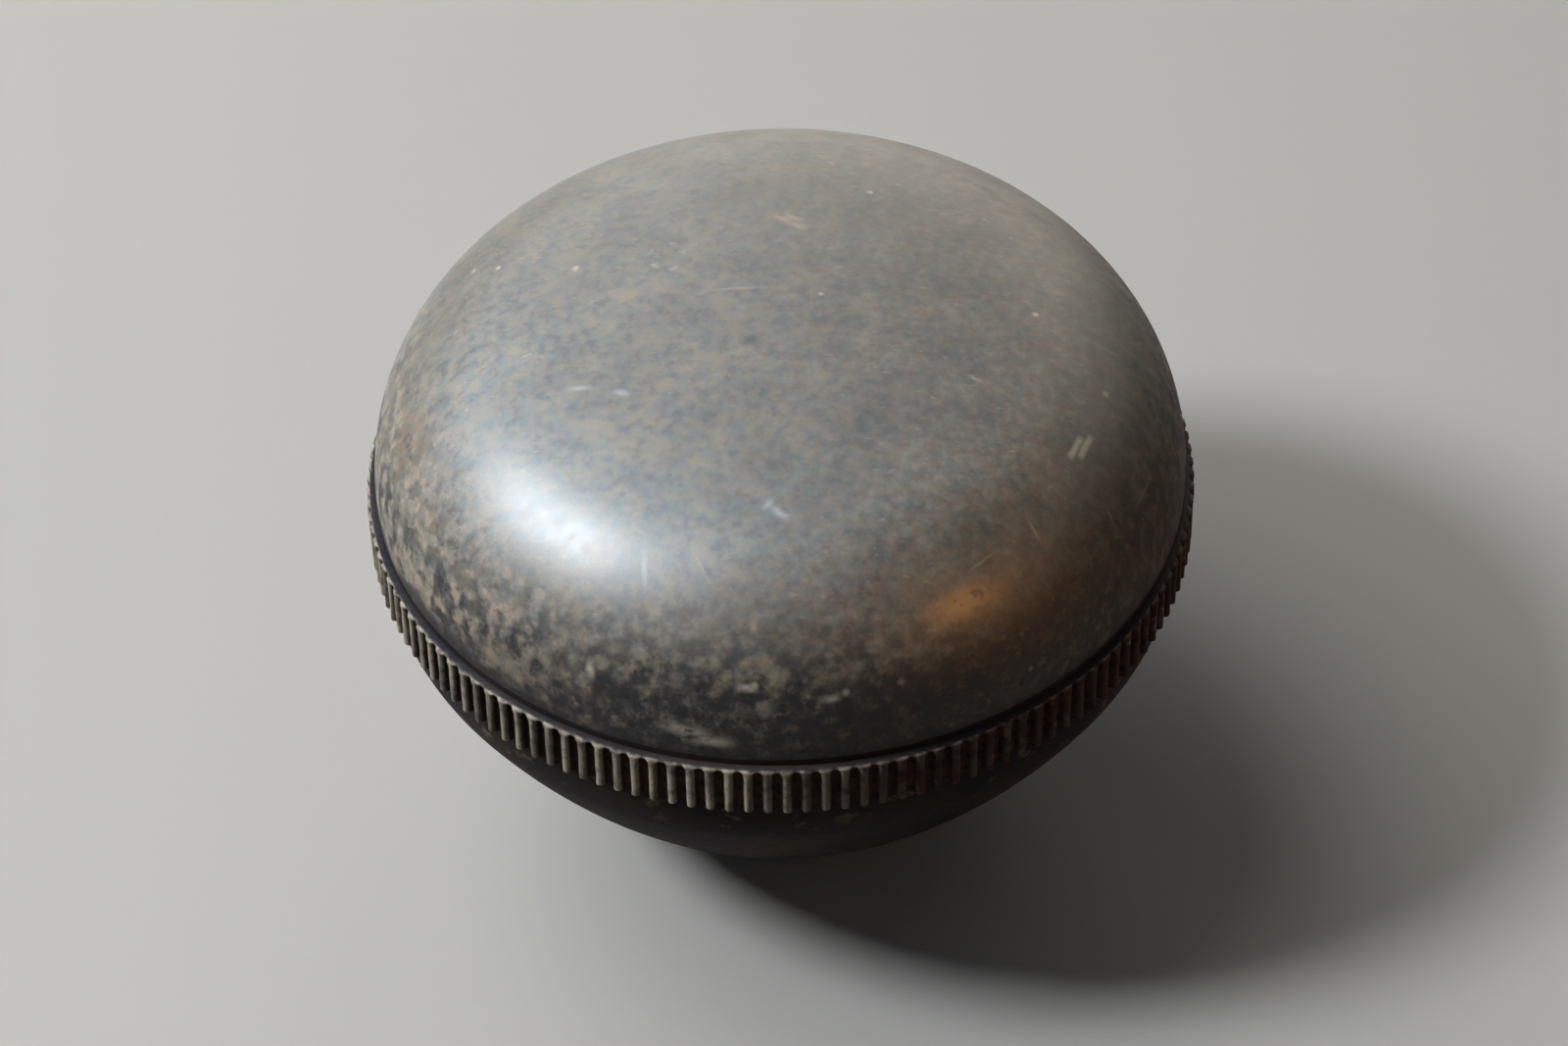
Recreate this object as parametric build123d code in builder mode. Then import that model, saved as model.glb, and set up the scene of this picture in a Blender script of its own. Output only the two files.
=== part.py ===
from build123d import *
import os
from math import asin, degrees

# Gear shift knob: a moulded knob with a milled band round its widest part, and the
# hexagonal brass insert that takes the lever's thread.
# Millimetres. +Z is up through the middle of the crown, the origin is the middle of the base.

# ---- Bowl: the underside, from the band down to the base ----
bowl_height = 25.4  # base to the top of the band
base_diameter = 19.0  # flat that the knob stands on
base_edge_chamfer = 0.4
haunch_radius = 9.2  # round turn just under the band
haunch_sweep = 29.0  # degrees of that turn, before the long sweep in to the base

# ---- Milled band ----
band_diameter = 54.0  # over the ridges
band_height = 3.7  # lip and ridges together
band_step = 0.65  # how far the band stands proud of the dome above and the bowl below
lip_height = 0.5  # plain ring above the flutes
lip_edge_chamfer = 0.25
flute_count = 140
flute_width = 0.66  # at the mouth
flute_floor_width = 0.50
flute_depth = 0.55
ridge_direction = -90.0  # degrees about +Z: a ridge, not a flute, faces this way

# ---- Dome ----
dome_wall_height = 1.0  # upright wall above the band
shoulder_radius = 12.0
crown_radius = 60.0

# ---- Brass insert, of hexagonal bar, moulded in ----
insert_across_flats = 12.7
insert_length = 19.0
insert_end_chamfer = 0.7
spigot_diameter = 12.2  # turned end, flush with the base
spigot_length = 1.8
groove_diameter = 11.2  # turned groove that keys the insert against pulling out
groove_width = 3.0
groove_height = 9.5  # middle of the groove above the base

# ---- Hole for the 3/8 in, 16 threads per inch, lever ----
thread_major_diameter = 9.525
bore_diameter = 7.94
bore_depth = 14.3  # parallel part of the hole
drill_point_angle = 118.0

# ---- Worked out from the above ----
band_radius = band_diameter / 2
wall_radius = band_radius - band_step
band_foot = bowl_height - band_height
flute_top = bowl_height - lip_height
lip_corner = (band_radius, bowl_height)
base_corner = (base_diameter / 2, 0)
shoulder_reach = wall_radius - shoulder_radius
crown_angle = degrees(asin(shoulder_reach / (crown_radius - shoulder_radius)))
bore_radius = bore_diameter / 2
mouth_radius = thread_major_diameter / 2
mouth_chamfer = mouth_radius - bore_radius


# ---- Insert blank: hexagonal bar with a turned spigot and groove, not yet drilled ----
with BuildPart() as insert_blank:
    with BuildSketch():
        Circle(spigot_diameter / 2)
    extrude(amount=spigot_length)
    with BuildSketch(Plane.XY.offset(spigot_length)):
        RegularPolygon(insert_across_flats / 2, side_count=6, major_radius=False)
    extrude(amount=insert_length - spigot_length)
    chamfer(insert_blank.faces().sort_by(Axis.Z)[-1].edges(), insert_end_chamfer)
    with BuildSketch(Plane.XY.offset(groove_height - groove_width / 2)):
        Circle(insert_across_flats)
        Circle(groove_diameter / 2, mode=Mode.SUBTRACT)
    extrude(amount=groove_width, mode=Mode.SUBTRACT)


# ---- Knob body: dome, milled band and bowl, moulded in one round the insert ----
with BuildPart() as knob_body:
    with BuildSketch(Plane.XZ) as half_section:
        with BuildLine():
            # Dome, from the lip up to the crown
            wall = Line((wall_radius, bowl_height), (wall_radius, bowl_height + dome_wall_height))
            shoulder = JernArc(wall @ 1, wall % 1, shoulder_radius, 90 - crown_angle)
            crown = JernArc(shoulder @ 1, shoulder % 1, crown_radius, crown_angle)
            # Band, from the dome's foot round to the bowl
            band = Polyline(wall @ 0, lip_corner, (band_radius, band_foot), (wall_radius, band_foot))
            # Bowl, from the band in to the base
            haunch = JernArc(band @ 1, (0, -1), haunch_radius, -haunch_sweep)
            sweep_in = TangentArc(haunch @ 1, base_corner, tangent=haunch % 1)
            Polyline(sweep_in @ 1, (0, 0), crown @ 1)
        make_face()
        chamfer(half_section.vertices().sort_by_distance(lip_corner)[0], lip_edge_chamfer)
        chamfer(half_section.vertices().sort_by_distance(base_corner)[0], base_edge_chamfer)
    revolve(axis=Axis.Z)

    # Flutes, cut upward from under the band and stopped by the lip
    with BuildSketch(Plane.XY.offset(flute_top)) as flutes:
        flare = (flute_width - flute_floor_width) / 2
        with PolarLocations(band_radius, flute_count, ridge_direction + 180 / flute_count):
            Polygon(
                (-flute_depth, -flute_floor_width / 2),
                (flute_depth, -flute_width / 2 - flare),
                (flute_depth, flute_width / 2 + flare),
                (-flute_depth, flute_floor_width / 2),
                align=None,
            )
    extrude(amount=-band_height, mode=Mode.SUBTRACT)

    add(insert_blank.part, mode=Mode.SUBTRACT)


# ---- Threaded insert: the blank drilled and countersunk from below for the lever ----
with BuildPart() as threaded_insert:
    add(insert_blank.part)
    with BuildSketch(Plane.XZ):
        with BuildLine():
            mouth = Polyline((0, 0), (mouth_radius, 0), (bore_radius, mouth_chamfer), (bore_radius, bore_depth))
            drill_point = PolarLine(
                mouth @ 1, bore_radius, 90 + drill_point_angle / 2, length_mode=LengthMode.HORIZONTAL
            )
            Line(drill_point @ 1, mouth @ 0)
        make_face()
    revolve(axis=Axis.Z, mode=Mode.SUBTRACT)


knob_body.part.label = "knob_body"
threaded_insert.part.label = "threaded_insert"

os.makedirs("parts", exist_ok=True)
export_step(knob_body.part, "parts/knob_body.step")
export_step(threaded_insert.part, "parts/threaded_insert.step")
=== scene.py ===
"""Gear shift knob: a worn moulded knob with a milled band, on its brass threaded insert.

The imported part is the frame. The knob's body is modelled afresh with rounded, worn ridges, and
the insert with its real thread. All sizes are in metres, in the frame's own axes.
"""

import math

import bmesh
import bpy
from bpy.props import FloatProperty, FloatVectorProperty, IntProperty, PointerProperty
from mathutils import Matrix, Vector


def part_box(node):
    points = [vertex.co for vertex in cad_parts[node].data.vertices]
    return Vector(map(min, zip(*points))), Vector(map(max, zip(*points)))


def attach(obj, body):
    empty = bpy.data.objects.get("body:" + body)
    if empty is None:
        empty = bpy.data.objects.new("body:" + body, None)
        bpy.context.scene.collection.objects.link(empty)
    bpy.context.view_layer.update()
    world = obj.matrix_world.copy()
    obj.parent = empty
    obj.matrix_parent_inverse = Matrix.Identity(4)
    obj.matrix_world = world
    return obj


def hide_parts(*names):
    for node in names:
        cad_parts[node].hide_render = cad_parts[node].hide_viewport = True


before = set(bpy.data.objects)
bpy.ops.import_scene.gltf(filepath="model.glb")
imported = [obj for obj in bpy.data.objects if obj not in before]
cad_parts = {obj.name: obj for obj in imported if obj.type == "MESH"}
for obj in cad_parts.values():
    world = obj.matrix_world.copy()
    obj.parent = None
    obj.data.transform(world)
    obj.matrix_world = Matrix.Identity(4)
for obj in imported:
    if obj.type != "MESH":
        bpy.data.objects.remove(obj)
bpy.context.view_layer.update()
BODY_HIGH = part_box("knob_body")[1]
INSERT_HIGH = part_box("threaded_insert")[1]

bl_info = {
    "name": "Gear Shift Knob",
    "version": (1, 0, 0),
    "blender": (4, 5, 0),
    "location": "View3D > Sidebar > Knob",
    "description": "Models a worn gear shift knob with its threaded insert, and the stage it stands on",
    "category": "Add Mesh",
}

MM = 0.001

# How finely the curves are stepped
CROWN_STEPS = 24
SHOULDER_STEPS = 28
LIP_STEPS = 3
FLUTE_RINGS = 10
HAUNCH_STEPS = 8
BOWL_STEPS = 26
COLUMNS_PER_FLUTE = 5
WEAR_SEGMENTS = 3
INSERT_CORNERS = 48
TAP_STEPS = 48
FLOOR_CORNERS = 96
COVE_STEPS = 8

# Points closer than this are one
WELD = 1e-7
# Edges that turn further than this, in degrees, stay crisp
BODY_CREASE = 38
INSERT_CREASE = 28
FLOOR_CREASE = 40
# Edges of the ridges that turn further, in degrees, and are longer than this are worn round
WORN_TURN = 25
WORN_LENGTH = 0.05 * MM
# Size of the uneven wear on the band
RUB_SIZE = 0.9 * MM

HEXAGON_SIDES = 6
# How far the tap lies inside the hole's wall, and how far below the base it starts
TAP_OVERLAP = 0.1 * MM
TAP_LEAD = 0.5 * MM
# The tap's tooth, as shares of its depth and of the pitch
TOOTH = ((0, 0.0), (0, 0.125), (1, 0.4375), (1, 0.5625), (0, 0.875), (0, 1.0))

SENSOR_WIDTH = 36
CAMERA_REACH = (0.01, 20)

# Lamps, in metres and watts: direction from the knob's middle, distance, size, power, colour
SOFT_LAMPS = (
    ("Overhead light", (-0.45, 0.26, 0.85), 0.8, 0.6, 2.0, (1.0, 0.94, 0.85)),
    ("Window light", (-0.52, 0.62, 0.57), 0.8, 0.55, 1.2, (0.9, 0.95, 1.0)),
    ("Back light", (0.14, 0.95, 0.28), 0.8, 0.6, 0.9, (1.0, 0.95, 0.86)),
    ("Side lamp", (-0.69, -0.085, 0.72), 0.55, 0.13, 2.3, (0.92, 0.97, 1.0)),
)
SHEENS = (
    ("Window sheen", (-0.52, 0.62, 0.57), 0.8, 0.55, 5.8, (0.88, 0.95, 1.0)),
    ("Back sheen", (0.14, 0.95, 0.28), 0.8, 0.6, 8.2, (1.0, 0.95, 0.87)),
    ("Side sheen", (-0.69, -0.085, 0.72), 0.55, 0.13, 22.5, (0.86, 0.91, 1.0)),
    ("Side halo", (-0.62, -0.06, 0.78), 0.55, 0.45, 4.0, (0.9, 1.0, 1.0)),
    ("Side glow", (-0.5, 0.16, 0.85), 0.7, 0.7, 14.5, (0.2, 0.6, 1.0)),
    ("Warm sheen", (0.72, -0.562, 0.407), 0.55, 0.09, 2.2, (1.0, 0.42, 0.11)),
)
BASE_BEAM = ("Base beam", (0.0, 0.0, -1.0), 0.25, 0.011, 0.0004, (1.0, 1.0, 1.0))
BEAM_SPREAD = 1.5
ROOM_COLOUR = (0.9, 0.95, 1.0, 1.0)
BACKDROP_COLOUR = (0.82, 0.82, 0.81, 1.0)

# Noises: size in millimetres, detail and roughness, then how far each axis is squeezed, and a turn
DOME_CLOUDS = {
    "patch": (2.1, 2.0, 0.5),
    "mottle": (0.8, 2.5, 0.55),
    "shade": (0.7, 2.5, 0.55),
    "film": (1.1, 4.0, 0.65),
    "clump": (1.15, 2.0, 0.5),
    "billow": (4.0, 1.5, 0.5),
    "grain": (0.22, 2.0, 0.6),
    "fleck": (0.45, 2.0, 0.5, (0.5, 1.4, 1.0), (0, 0, 0.12)),
}
BAND_CLOUDS = {
    "broad": (7.0, 2.0, 0.5),
    "patch": (2.2, 4.0, 0.6),
    "mottle": (0.9, 3.0, 0.6),
    "grain": (0.35, 2.0, 0.6),
    "each": (0.7, 1.0, 0.5, (1.0, 1.0, 0.12)),
}
# How far the edges of marks wander, in millimetres, and how many times further on ragged ones
EDGE_SHAKE = 0.15
RAGGED_SHARE = 3.2
# Distance between the tool's rings on the brass, in millimetres
TOOL_RING = 0.12

# Marks on the dome in millimetres: the middle, the run from end to end, and the width
SCRATCHES = (
    ((18.35, -10.1, 36.3), (0.9, 1.9, 0.1), 0.5),
    ((19.05, -9.8, 36.1), (0.9, 2.0, 0.1), 0.5),
)
FAINT_SCRATCHES = (
    ((0.5, 7.8, 40.1), (1.6, -1.3, 0.2), 0.55),
    ((1.2, 7.9, 40.0), (1.7, -1.1, 0.1), 0.55),
    ((1.5, 7.0, 40.2), (1.4, -0.6, 0.0), 0.6),
    ((-2.4, 0.7, 40.5), (4.4, 0.0, 0.2), 0.22),
    ((20.8, -1.3, 36.4), (2.3, -0.1, -1.5), 0.24),
    ((23.1, 1.2, 34.5), (1.1, 1.5, -1.2), 0.24),
    ((12.3, -6.4, 39.0), (1.0, -0.5, -0.3), 0.36),
    ((22.9, -9.6, 32.1), (1.2, 2.9, 0.0), 0.26),
    ((20.5, -13.0, 33.1), (0.5, -0.7, -1.2), 0.3),
    ((15.6, -16.3, 35.1), (1.1, -1.2, -1.5), 0.26),
    ((12.2, -18.8, 35.2), (-2.2, -1.8, -0.3), 0.24),
    ((-4.9, -20.1, 36.5), (1.3, -2.2, -1.2), 0.24),
)
SMEARS = (
    ((-6.1, -25.6, 27.9), (3.6, -0.9, -0.3), 1.0),
    ((-4.6, -25.9, 27.3), (3.6, -0.7, -0.1), 0.9),
    ((2.6, -25.4, 30.4), (1.8, 0.1, 0.3), 0.6),
    ((-2.3, -25.2, 31.2), (1.6, -0.1, 0.0), 0.6),
    ((-11.9, -22.7, 30.5), (0.3, -0.3, -1.8), 0.6),
)
# A warm patch at the front right: partly a stain, partly a painted reflection of a warm lamp
WARM_STAIN_AND_REFLECTION = ((11.0, -21.0, 33.8), (5.8, 3.5, 0.3), 2.1)
SCUFFS = (
    ((-12.4, -6.5, 38.9), (2.2, -0.3, 0.4), 0.42),
    ((-9.8, -7.4, 39.3), (1.4, -0.5, 0.1), 0.45),
    ((-8.4, -19.7, 36.0), (0.0, -2.6, -1.8), 0.42),
    ((-0.8, -16.5, 38.2), (0.5, -0.4, 0.0), 1.0),
    ((-0.1, -17.1, 38.1), (1.5, -1.2, -0.3), 0.6),
)
# Small spots: the middle and the size
CREAM_SPOTS = (
    ((6.2, 11.2, 39.2), 0.5),
    ((2.8, 0.0, 40.5), 0.45),
    ((-12.8, 4.6, 39.0), 0.6),
    ((-19.6, 7.5, 36.4), 0.5),
    ((-17.9, 6.6, 37.4), 0.5),
    ((16.4, 0.1, 38.3), 0.55),
    ((20.6, -5.2, 36.2), 0.55),
    ((3.7, -25.3, 30.7), 0.65),
    ((15.2, -21.3, 28.3), 0.55),
    ((-1.8, -25.2, 31.4), 0.55),
)
TAN_SPOTS = (
    ((-9.2, -23.5, 31.5), 1.4),
    ((0.5, -25.4, 31.2), 0.8),
    ((2.1, -25.8, 29.8), 1.0),
    ((-3.3, -25.9, 28.7), 0.9),
    ((-0.5, -26.0, 29.3), 0.9),
    ((-1.9, -23.2, 34.4), 0.9),
    ((-2.4, -24.5, 32.6), 1.0),
)
DARK_PIT = ((-1.7, -4.0, 40.4), 1.1)
SCUFFED_PATCH = ((-7.4, 4.6, 39.9), 6.0)
RUSTY_PATCH = ((-23.4, -5.5, 33.6), 5.5)


# ---- What a user may change ----


def length(name, description, millimetres):
    """A length property, in the scene's metres."""
    settings = {"default": millimetres * MM, "min": 0.0, "subtype": "DISTANCE", "unit": "LENGTH"}
    return FloatProperty(name=name, description=description, **settings)


def angle(name, description, degrees):
    """An angle property."""
    settings = {"default": math.radians(degrees), "subtype": "ANGLE", "unit": "ROTATION"}
    return FloatProperty(name=name, description=description, **settings)


def colour(name, description, red, green, blue):
    """A linear colour property."""
    settings = {"default": (red, green, blue, 1.0), "size": 4, "min": 0.0, "max": 1.0, "subtype": "COLOR"}
    return FloatVectorProperty(name=name, description=description, **settings)


class KnobShape(bpy.types.PropertyGroup):
    """Sizes of the moulded body."""

    bowl_height: length("Bowl height", "Base to the top of the band", 25.4)
    base_radius: length("Base radius", "Radius of the flat that the knob stands on", 9.5)
    base_edge: length("Base edge", "Rounding of the base's edge", 0.4)
    haunch_radius: length("Haunch radius", "Round turn just under the band", 9.2)
    haunch_sweep: angle("Haunch sweep", "Angle of the turn under the band", 29.0)
    band_height: length("Band height", "Height of the lip and the ridges together", 3.7)
    band_step: length("Band step", "How far the band stands proud of the dome and the bowl", 0.65)
    lip_height: length("Lip height", "Plain ring above the flutes", 0.5)
    lip_edge: length("Lip edge", "Rounding of the lip's upper edge", 0.22)
    lip_scallop: length("Lip scallop", "How far the lip is worn back over each flute", 0.18)
    flute_count: IntProperty(name="Flutes", description="Flutes milled round the band", default=140, min=12)
    flute_depth: length("Flute depth", "Depth of each flute", 0.55)
    flute_floor: length("Flute floor", "Width of each flute's floor", 0.40)
    ridge_wear: length("Ridge wear", "Rounding worn on the ridges' edges", 0.19)
    rub: length("Rub", "Uneven wear of the band, at most", 0.07)
    dome_wall: length("Dome wall", "Upright wall above the band", 1.0)
    shoulder_radius: length("Shoulder radius", "Round shoulder of the dome", 12.0)
    crown_radius: length("Crown radius", "Shallow crown of the dome", 60.0)
    socket_clearance: length("Socket clearance", "Gap round the insert's hexagon", 0.07)


class InsertShape(bpy.types.PropertyGroup):
    """Sizes of the brass insert."""

    across_flats: length("Across flats", "Size of the hexagonal bar", 12.7)
    end_chamfer: length("End chamfer", "Chamfer on the inner end", 0.7)
    spigot_radius: length("Spigot radius", "Turned end, flush with the base", 6.1)
    spigot_chamfer: length("Spigot chamfer", "Chamfer on the turned end", 0.12)
    spigot_length: length("Spigot length", "Length of the turned end", 1.8)
    groove_radius: length("Groove radius", "Bottom of the keying groove", 5.6)
    groove_width: length("Groove width", "Width of the keying groove", 3.0)
    groove_height: length("Groove height", "Middle of the groove above the base", 9.5)
    thread_radius: length("Thread radius", "Outer radius of the thread", 4.7625)
    bore_radius: length("Bore radius", "Radius of the tapped hole's wall", 3.97)
    bore_depth: length("Bore depth", "Parallel part of the hole", 14.3)
    thread_depth: length("Thread depth", "How far up the hole the thread goes", 13.2)
    thread_pitch: length("Thread pitch", "Sixteen threads to the inch", 1.5875)
    drill_point: angle("Drill point", "Full angle of the drilled point", 118.0)


class KnobColours(bpy.types.PropertyGroup):
    """Colours of the old moulding, its wear and the brass."""

    plastic: colour("Plastic", "Clean dark moulding", 0.01, 0.007, 0.008)
    plastic_warm: colour("Warm plastic", "Browner parts of the moulding", 0.024, 0.014, 0.01)
    bloom_slate: colour("Slate bloom", "Slate-grey parts of the worn skin", 0.132, 0.13, 0.118)
    bloom_brown: colour("Brown bloom", "Brown parts of the worn skin", 0.212, 0.165, 0.112)
    bloom_tan: colour("Tan bloom", "Tan grain in the worn skin", 0.24, 0.205, 0.15)
    dust: colour("Dust", "Pale tan dust in corners and on edges", 0.4, 0.3, 0.21)
    ridge: colour("Ridge", "Dry beige of the rubbed ridges", 0.52, 0.435, 0.335)
    ridge_red: colour("Red ridge", "Redder brown of the less rubbed ridges", 0.105, 0.052, 0.034)
    # The two skin colours for the right are darker, partly as painted shade
    shaded_olive: colour("Olive", "Olive parts of the skin at the right", 0.094, 0.084, 0.06)
    umber_and_shade: colour("Umber", "Redder brown at the right of the dome", 0.134, 0.088, 0.054)
    rust: colour("Rust", "Rusty tint at the left of the shoulder", 0.22, 0.118, 0.045)
    # The warm patch's colour: partly a stain, partly a painted reflection of a warm lamp
    amber_stain_and_reflection: colour("Amber", "Warm stain at the front right", 0.62, 0.29, 0.095)
    scratch: colour("Scratch", "Cream colour of fresh scratches", 0.48, 0.42, 0.3)
    chalk: colour("Chalk", "Off-white of small specks", 0.56, 0.56, 0.56)
    brass: colour("Brass", "Dull brass of the insert", 0.52, 0.38, 0.16)
    tarnish: colour("Tarnish", "Brown tarnish on the brass", 0.17, 0.105, 0.045)


class StageSettings(bpy.types.PropertyGroup):
    """The floor, the light and the camera."""

    floor_colour: colour("Floor", "Pale floor", 0.55, 0.53, 0.505)
    floor_bounce: colour("Floor bounce", "What the floor gives back as diffuse light", 0.1, 0.1, 0.1)
    floor_radius: length("Floor radius", "Radius of the round floor", 1600)
    sky_strength: FloatProperty(name="Sky", description="Strength of the dim room", default=0.07, min=0.0)
    camera_distance: length("Camera distance", "From the camera to the middle of the lip", 321.4)
    camera_elevation: angle("Camera elevation", "Angle of the camera above the horizon", 44.1)
    camera_roll: angle("Camera roll", "Turn of the camera about its own axis", -1.22)
    camera_tilt: angle("Camera tilt", "How far the camera is aimed below the lip's middle", 0.649)
    camera_pan: angle("Camera pan", "How far the camera is aimed right of the lip's middle", 0.044)
    lens: FloatProperty(name="Lens", description="Focal length in millimetres", default=113.05, min=10.0)


# ---- Modelling tools ----


def deselect_all():
    """Leaves nothing selected in object mode."""
    if bpy.context.mode != "OBJECT":
        bpy.ops.object.mode_set(mode="OBJECT")
    bpy.ops.object.select_all(action="DESELECT")


def add_circle(name, corners, radius, height, fill="NOTHING"):
    """Starts a piece from a circle, left open in edit mode with all of it selected."""
    deselect_all()
    bpy.ops.mesh.primitive_circle_add(vertices=corners, radius=radius, fill_type=fill, location=(0, 0, 0))
    piece = bpy.context.active_object
    piece.name = name
    piece.data.name = name
    bpy.ops.object.mode_set(mode="EDIT")
    bpy.ops.mesh.select_all(action="SELECT")
    bpy.ops.transform.translate(value=(0, 0, height))
    return piece


def add_ring(corners, radius, height, cuts=0, turn=0.0):
    """Adds a ring to the piece in edit mode, with only the ring selected."""
    bpy.ops.mesh.select_all(action="DESELECT")
    bpy.ops.mesh.primitive_circle_add(
        vertices=corners, radius=radius, location=(0, 0, height), rotation=(0, 0, turn)
    )
    if cuts:
        bpy.ops.mesh.subdivide(number_cuts=cuts)


def select_where(piece, kind, test):
    """In edit mode, selects only the verts or edges that pass the test."""
    bpy.ops.mesh.select_mode(type={"verts": "VERT", "edges": "EDGE"}[kind])
    bpy.ops.mesh.select_all(action="DESELECT")
    shape = bmesh.from_edit_mesh(piece.data)
    for element in getattr(shape, kind):
        if test(element):
            element.select_set(True)
    shape.select_flush_mode()
    bmesh.update_edit_mesh(piece.data)


def turn_of(vert):
    """A corner's angle round the axis, from the front towards +X."""
    return math.atan2(vert.co.x, -vert.co.y)


def change_radius(start, end, height=0.0):
    """Scales what is selected about the axis, from one radius to another."""
    grow = end / start
    bpy.ops.transform.resize(value=(grow, grow, 1), center_override=(0, 0, height))


def carry_ring(start, end):
    """Extrudes the selected ring from one point of the half section (radius, height) to the next."""
    bpy.ops.mesh.extrude_edges_move(TRANSFORM_OT_translate={"value": (0, 0, end[1] - start[1])})
    change_radius(start[0], end[0], end[1])


def carry_along(points):
    """Extrudes the selected ring through all the points of a half section."""
    for start, end in zip(points, points[1:]):
        carry_ring(start, end)


def weld():
    """Merges what coincides in the piece in edit mode, and turns every face outwards."""
    bpy.ops.mesh.select_all(action="SELECT")
    bpy.ops.mesh.remove_doubles(threshold=WELD)
    bpy.ops.mesh.normals_make_consistent(inside=False)


def apply_modifier(piece, kind, **settings):
    """Adds one modifier in object mode, sets it and applies it."""
    modifier = piece.modifiers.new(kind.title(), kind)
    for name, value in settings.items():
        setattr(modifier, name, value)
    bpy.context.view_layer.objects.active = piece
    bpy.ops.object.modifier_apply(modifier=modifier.name)


def smooth_piece(piece, degrees):
    """Smooth shading, with edges kept crisp past an angle."""
    deselect_all()
    piece.select_set(True)
    bpy.context.view_layer.objects.active = piece
    bpy.ops.object.shade_smooth_by_angle(angle=math.radians(degrees))


def arc_points(centre, radius, first, last, steps):
    """Points on an arc from one angle to another in degrees, without its first end."""
    turns = [math.radians(first + (last - first) * step / steps) for step in range(1, steps + 1)]
    return [(centre[0] + radius * math.cos(t), centre[1] + radius * math.sin(t)) for t in turns]


def tangent_arc_points(start, heading, end, steps):
    """Points on the arc that leaves start along a heading in degrees and reaches end, without start."""
    along = Vector((math.cos(math.radians(heading)), math.sin(math.radians(heading))))
    across = Vector((-along.y, along.x))
    chord = Vector(end) - Vector(start)
    radius = chord.length_squared / (2 * chord.dot(across))
    centre = Vector(start) + across * radius
    first = Vector(start) - centre
    sweep = first.angle_signed(Vector(end) - centre)
    turns = [-sweep * step / steps for step in range(1, steps + 1)]
    return [tuple(centre + Matrix.Rotation(t, 2) @ first) for t in turns]


# ---- The moulded body ----


def band_levels(shape):
    """Heights of the band's foot, of the flutes' upper ends and of the band's top."""
    top = shape.bowl_height
    return top - shape.band_height, top - shape.lip_height, top


def dome_section(shape):
    """Half section of the dome, from near its pole down to its foot in the band."""
    wall = BODY_HIGH.x - shape.band_step
    springing = shape.bowl_height + shape.dome_wall
    reach = wall - shape.shoulder_radius
    crown_angle = math.degrees(math.asin(reach / (shape.crown_radius - shape.shoulder_radius)))
    crown_centre = (0, BODY_HIGH.z - shape.crown_radius)
    meeting = 90 - crown_angle
    points = arc_points(crown_centre, shape.crown_radius, 90, meeting, CROWN_STEPS)
    points += arc_points((reach, springing), shape.shoulder_radius, meeting, 0, SHOULDER_STEPS)
    points += [(wall, springing - shape.dome_wall / 2), (wall, shape.bowl_height)]
    return points


def band_section(shape):
    """Half section of the band: ledge, rounded lip, flutes and the step under them."""
    foot, flute_top, top = band_levels(shape)
    rim = BODY_HIGH.x
    edge = shape.lip_edge
    points = [(rim - shape.flute_depth, top), (rim - edge, top)]
    points += arc_points((rim - edge, top - edge), edge, 90, 0, LIP_STEPS)
    rise = (flute_top - foot) / FLUTE_RINGS
    points += [(rim, flute_top - rise * ring) for ring in range(FLUTE_RINGS + 1)]
    points += [(rim - shape.flute_depth, foot), (rim - shape.band_step, foot)]
    return points


def bowl_section(shape, insert):
    """Half section of the bowl, from the band to the base, then up the socket that holds the insert."""
    foot = band_levels(shape)[0]
    wall = BODY_HIGH.x - shape.band_step
    sweep = math.degrees(shape.haunch_sweep)
    haunch = arc_points((wall - shape.haunch_radius, foot), shape.haunch_radius, 0, -sweep, HAUNCH_STEPS)
    bowl = tangent_arc_points(haunch[-1], -90 - sweep, (shape.base_radius, 0), BOWL_STEPS)
    inner = shape.base_radius - shape.base_edge
    round_edge = (inner + 0.75 * shape.base_edge, 0.16 * shape.base_edge)
    base = [round_edge, (inner, 0), (insert.spigot_radius, 0)]
    socket = insert.across_flats / math.sqrt(3) + shape.socket_clearance
    ceiling = INSERT_HIGH.z + shape.socket_clearance
    step = insert.spigot_length
    socket_wall = [(insert.spigot_radius, step), (socket, step), (socket, ceiling)]
    return haunch + bowl[:-1] + base + socket_wall


def turn_one_pitch(shape, insert):
    """Carries one flute's share of the circle along the whole half section, from pole to pole."""
    corners = shape.flute_count * COLUMNS_PER_FLUTE
    points = dome_section(shape) + band_section(shape) + bowl_section(shape, insert)
    piece = add_circle("moulded_knob", corners, points[0][0], points[0][1], fill="TRIFAN")
    pitch = math.tau / shape.flute_count
    slack = pitch / COLUMNS_PER_FLUTE / 4

    def at_pole(vert):
        return vert.co.xy.length < points[0][0] / 2

    def outside_pitch(vert):
        return not at_pole(vert) and not -slack < turn_of(vert) < pitch + slack

    select_where(piece, "verts", outside_pitch)
    bpy.ops.mesh.delete(type="VERT")
    select_where(piece, "verts", at_pole)
    bpy.ops.transform.translate(value=(0, 0, BODY_HIGH.z - points[0][1]))
    select_where(piece, "edges", lambda edge: not any(at_pole(vert) for vert in edge.verts))
    carry_along(points + [(0, points[-1][1])])
    return piece


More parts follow.
